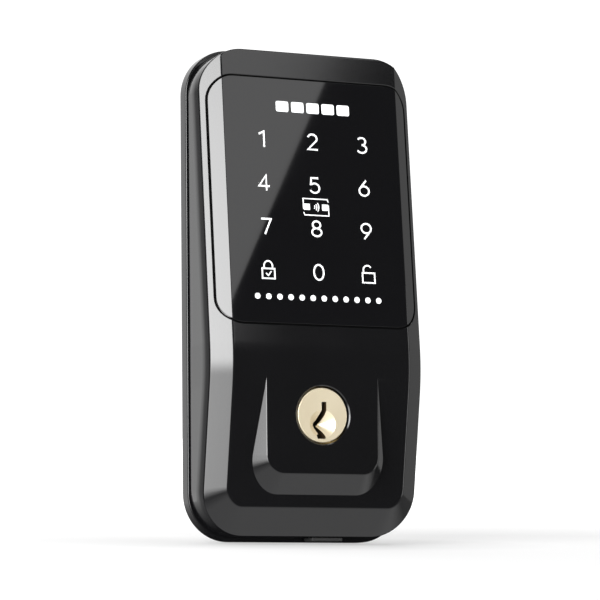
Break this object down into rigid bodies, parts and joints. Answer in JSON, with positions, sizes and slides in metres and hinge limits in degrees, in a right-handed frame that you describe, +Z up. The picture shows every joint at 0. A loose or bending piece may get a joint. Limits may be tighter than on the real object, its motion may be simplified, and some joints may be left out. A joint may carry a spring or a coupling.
{
  "type": "keypad smart lock",
  "caption": "Outdoor unit of an electronic deadbolt: wedge-shaped black housing, touch keypad panel, keyed cylinder with pins and tailpiece, and a power port under a flap.",
  "frame": {"origin": "on the key axis, midway between the two fixing bolt posts, at the door plane", "axes": "+Y into the door along the fixing bolts and the key axis, +Z up along the unit's height, +X to the right seen from outside"},
  "size_m": [0.0596, 0.0751, 0.124],
  "materials": {
    "black_casting": "satin black coating on die-cast zinc",
    "panel_glass": "gloss black tempered panel",
    "adhesive": "foam adhesive",
    "clear_guide": "clear moulded light guide",
    "board": "green circuit board",
    "led": "white light-emitting diodes",
    "chip": "black moulded chips",
    "copper": "copper track",
    "connector": "ivory moulded connectors",
    "flat_cable": "amber film",
    "tin_shield": "tinned steel shield",
    "can": "aluminium can",
    "black_plastic": "black moulded plastic",
    "screw_steel": "zinc-plated steel",
    "rubber": "black rubber",
    "post_steel": "plated steel",
    "cylinder_brass": "machined brass",
    "plug_brass": "pale satin brass",
    "pin_brass": "brass pins",
    "spring_steel": "steel spring wire"
  },
  "bodies": {
    "chassis": {"front_housing": "black_casting", "touch_panel": "panel_glass", "panel_adhesive": "adhesive", "light_guide": "clear_guide", "touch_board": "board", "touch_leds": "led", "touch_chips": "chip", "card_antenna": "copper", "touch_board_screws": "screw_steel", "flex_sockets": "connector", "flex_cable": "flat_cable", "control_board": "board", "control_chips": "chip", "radio_module": "tin_shield", "supply_capacitors": "can", "buzzer": "black_plastic", "harness_socket": "connector", "control_board_screws": "screw_steel", "back_plate": "black_casting", "door_gasket": "rubber", "housing_seal": "rubber", "back_plate_screws": "screw_steel", "bolt_post_left": "post_steel", "bolt_post_right": "post_steel", "cable_grommet": "rubber", "cylinder_body": "cylinder_brass", "cylinder_retainer": "screw_steel", "retainer_screws": "screw_steel", "nose_ring": "rubber", "chamber_cover": "spring_steel", "power_port": "tin_shield", "port_board": "board", "port_board_screws": "screw_steel", "pin_spring_1": "spring_steel", "pin_spring_2": "spring_steel", "pin_spring_3": "spring_steel", "pin_spring_4": "spring_steel", "pin_spring_5": "spring_steel"},
    "plug_set": {"key_plug": "plug_brass", "plug_clip": "spring_steel", "torque_blade": "post_steel"},
    "port_flap": {"port_flap": "rubber"},
    "driver_pin_1": {"driver_pin_1": "spring_steel"},
    "key_pin_1": {"key_pin_1": "pin_brass"},
    "driver_pin_2": {"driver_pin_2": "spring_steel"},
    "key_pin_2": {"key_pin_2": "pin_brass"},
    "driver_pin_3": {"driver_pin_3": "spring_steel"},
    "key_pin_3": {"key_pin_3": "pin_brass"},
    "driver_pin_4": {"driver_pin_4": "spring_steel"},
    "key_pin_4": {"key_pin_4": "pin_brass"},
    "driver_pin_5": {"driver_pin_5": "spring_steel"},
    "key_pin_5": {"key_pin_5": "pin_brass"}
  },
  "joints": [
    {"name": "key_turn", "type": "hinge", "parent": "chassis", "child": "plug_set", "pos_m": [0, 0, 0], "axis": [0, 1, 0], "range_deg": [-90, 90]},
    {"name": "flap_hinge", "type": "hinge", "parent": "chassis", "child": "port_flap", "pos_m": [0.006, -0.005, -0.03035], "axis": [1, 0, 0], "range_deg": [0, 100], "stiffness_Nm_per_rad": 0.0001},
    {"name": "driver_pin_1_lift", "type": "slide", "parent": "chassis", "child": "driver_pin_1", "axis": [0, 0, 1], "range_m": [0, 0.002], "stiffness_N_per_m": 60, "springref_m": -0.0025, "deforming": ["pin_spring_1"]},
    {"name": "driver_pin_2_lift", "type": "slide", "parent": "chassis", "child": "driver_pin_2", "axis": [0, 0, 1], "range_m": [0, 0.002], "stiffness_N_per_m": 60, "springref_m": -0.0025, "deforming": ["pin_spring_2"]},
    {"name": "driver_pin_3_lift", "type": "slide", "parent": "chassis", "child": "driver_pin_3", "axis": [0, 0, 1], "range_m": [0, 0.002], "stiffness_N_per_m": 60, "springref_m": -0.0025, "deforming": ["pin_spring_3"]},
    {"name": "driver_pin_4_lift", "type": "slide", "parent": "chassis", "child": "driver_pin_4", "axis": [0, 0, 1], "range_m": [0, 0.002], "stiffness_N_per_m": 60, "springref_m": -0.0025, "deforming": ["pin_spring_4"]},
    {"name": "driver_pin_5_lift", "type": "slide", "parent": "chassis", "child": "driver_pin_5", "axis": [0, 0, 1], "range_m": [0, 0.002], "stiffness_N_per_m": 60, "springref_m": -0.0025, "deforming": ["pin_spring_5"]},
    {"name": "key_pin_1_drop", "type": "slide", "parent": "plug_set", "child": "key_pin_1", "axis": [0, 0, 1], "range_m": [-0.0016, 0]},
    {"name": "key_pin_2_drop", "type": "slide", "parent": "plug_set", "child": "key_pin_2", "axis": [0, 0, 1], "range_m": [-0.0016, 0]},
    {"name": "key_pin_3_drop", "type": "slide", "parent": "plug_set", "child": "key_pin_3", "axis": [0, 0, 1], "range_m": [-0.0016, 0]},
    {"name": "key_pin_4_drop", "type": "slide", "parent": "plug_set", "child": "key_pin_4", "axis": [0, 0, 1], "range_m": [-0.0016, 0]},
    {"name": "key_pin_5_drop", "type": "slide", "parent": "plug_set", "child": "key_pin_5", "axis": [0, 0, 1], "range_m": [-0.0016, 0]}
  ]
}
